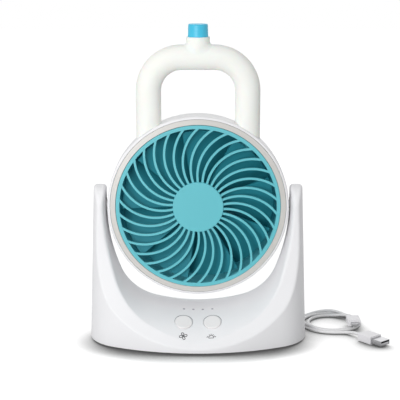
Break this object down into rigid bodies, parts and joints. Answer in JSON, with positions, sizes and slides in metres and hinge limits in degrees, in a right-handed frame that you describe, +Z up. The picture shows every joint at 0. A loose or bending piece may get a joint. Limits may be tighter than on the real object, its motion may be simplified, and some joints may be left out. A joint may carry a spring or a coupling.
{
  "type": "usb table fan",
  "caption": "Rechargeable table fan with a U-shaped base, a tilting drum head behind a swirled grille, push buttons, a lamp handle with a push cap, and a coiled USB cable.",
  "frame": {"origin": "on the table, at the middle of the base's foot, straight below the tilt axis", "axes": "+Z up, the fan blows towards -Y, +X to the right as seen from the front"},
  "size_m": [0.2771, 0.1231, 0.2921],
  "materials": {
    "white_plastic": "fine matte",
    "ring_plastic": "satin",
    "teal_plastic": "satin",
    "dark_plastic": "satin",
    "cap_plastic": "gloss",
    "lamp_diffuser": "translucent matte",
    "foot_rubber": "matte",
    "screw_steel": "plain",
    "bush_plastic": "plain",
    "lens_plastic": "clear",
    "board": "satin",
    "switch_plastic": "plain",
    "tray_plastic": "plain",
    "cell_metal": "wrapped",
    "motor_metal": "satin",
    "cable_jacket": "satin",
    "cable_grip": "satin",
    "plug_metal": "satin"
  },
  "bodies": {
    "base": {"base_front_shell": "white_plastic", "base_rear_shell": "white_plastic", "bottom_plate": "white_plastic", "rubber_feet": "foot_rubber", "plate_screws": "screw_steel", "shell_screws": "screw_steel", "left_pivot_bush": "bush_plastic", "right_pivot_bush": "bush_plastic", "indicator_lenses": "lens_plastic", "switch_board": "board", "panel_switches": "switch_plastic", "battery_tray": "tray_plastic", "battery_cells": "cell_metal", "main_board": "board", "charge_socket": "plug_metal", "cable_coil": "cable_jacket", "cable_tail": "cable_jacket", "usb_a_grip": "cable_grip", "usb_a_shell": "plug_metal", "usb_micro_grip": "cable_grip", "usb_micro_shell": "plug_metal"},
    "head": {"head_shell": "white_plastic", "front_ring": "ring_plastic", "front_grille": "teal_plastic", "rear_grille": "dark_plastic", "head_screws": "screw_steel", "motor": "motor_metal", "motor_screws": "screw_steel", "left_pivot_pin": "screw_steel", "right_pivot_pin": "screw_steel", "handle_tube": "lamp_diffuser", "lamp_strip": "board", "handle_collar": "white_plastic", "handle_switch": "switch_plastic"},
    "rotor": {"fan_rotor": "dark_plastic", "motor_shaft": "screw_steel"},
    "fan_button": {"fan_button": "white_plastic"},
    "light_button": {"light_button": "white_plastic"},
    "handle_button": {"handle_button": "cap_plastic"}
  },
  "joints": [
    {"name": "head_tilt", "type": "hinge", "parent": "base", "child": "head", "pos_m": [0, 0, 0.1274], "axis": [-1, 0, 0], "range_deg": [-45, 90]},
    {"name": "rotor_spin", "type": "hinge", "parent": "head", "child": "rotor", "pos_m": [0, 0, 0.1274], "axis": [0, -1, 0], "continuous": true},
    {"name": "fan_button_press", "type": "slide", "parent": "base", "child": "fan_button", "axis": [-0.0682, 0.4772, -0.8762], "range_m": [0, 0.0012], "stiffness_N_per_m": 400},
    {"name": "light_button_press", "type": "slide", "parent": "base", "child": "light_button", "axis": [0.0682, 0.4772, -0.8762], "range_m": [0, 0.0012], "stiffness_N_per_m": 400},
    {"name": "handle_button_press", "type": "slide", "parent": "head", "child": "handle_button", "axis": [0, 0, -1], "range_m": [0, 0.002], "stiffness_N_per_m": 400}
  ]
}
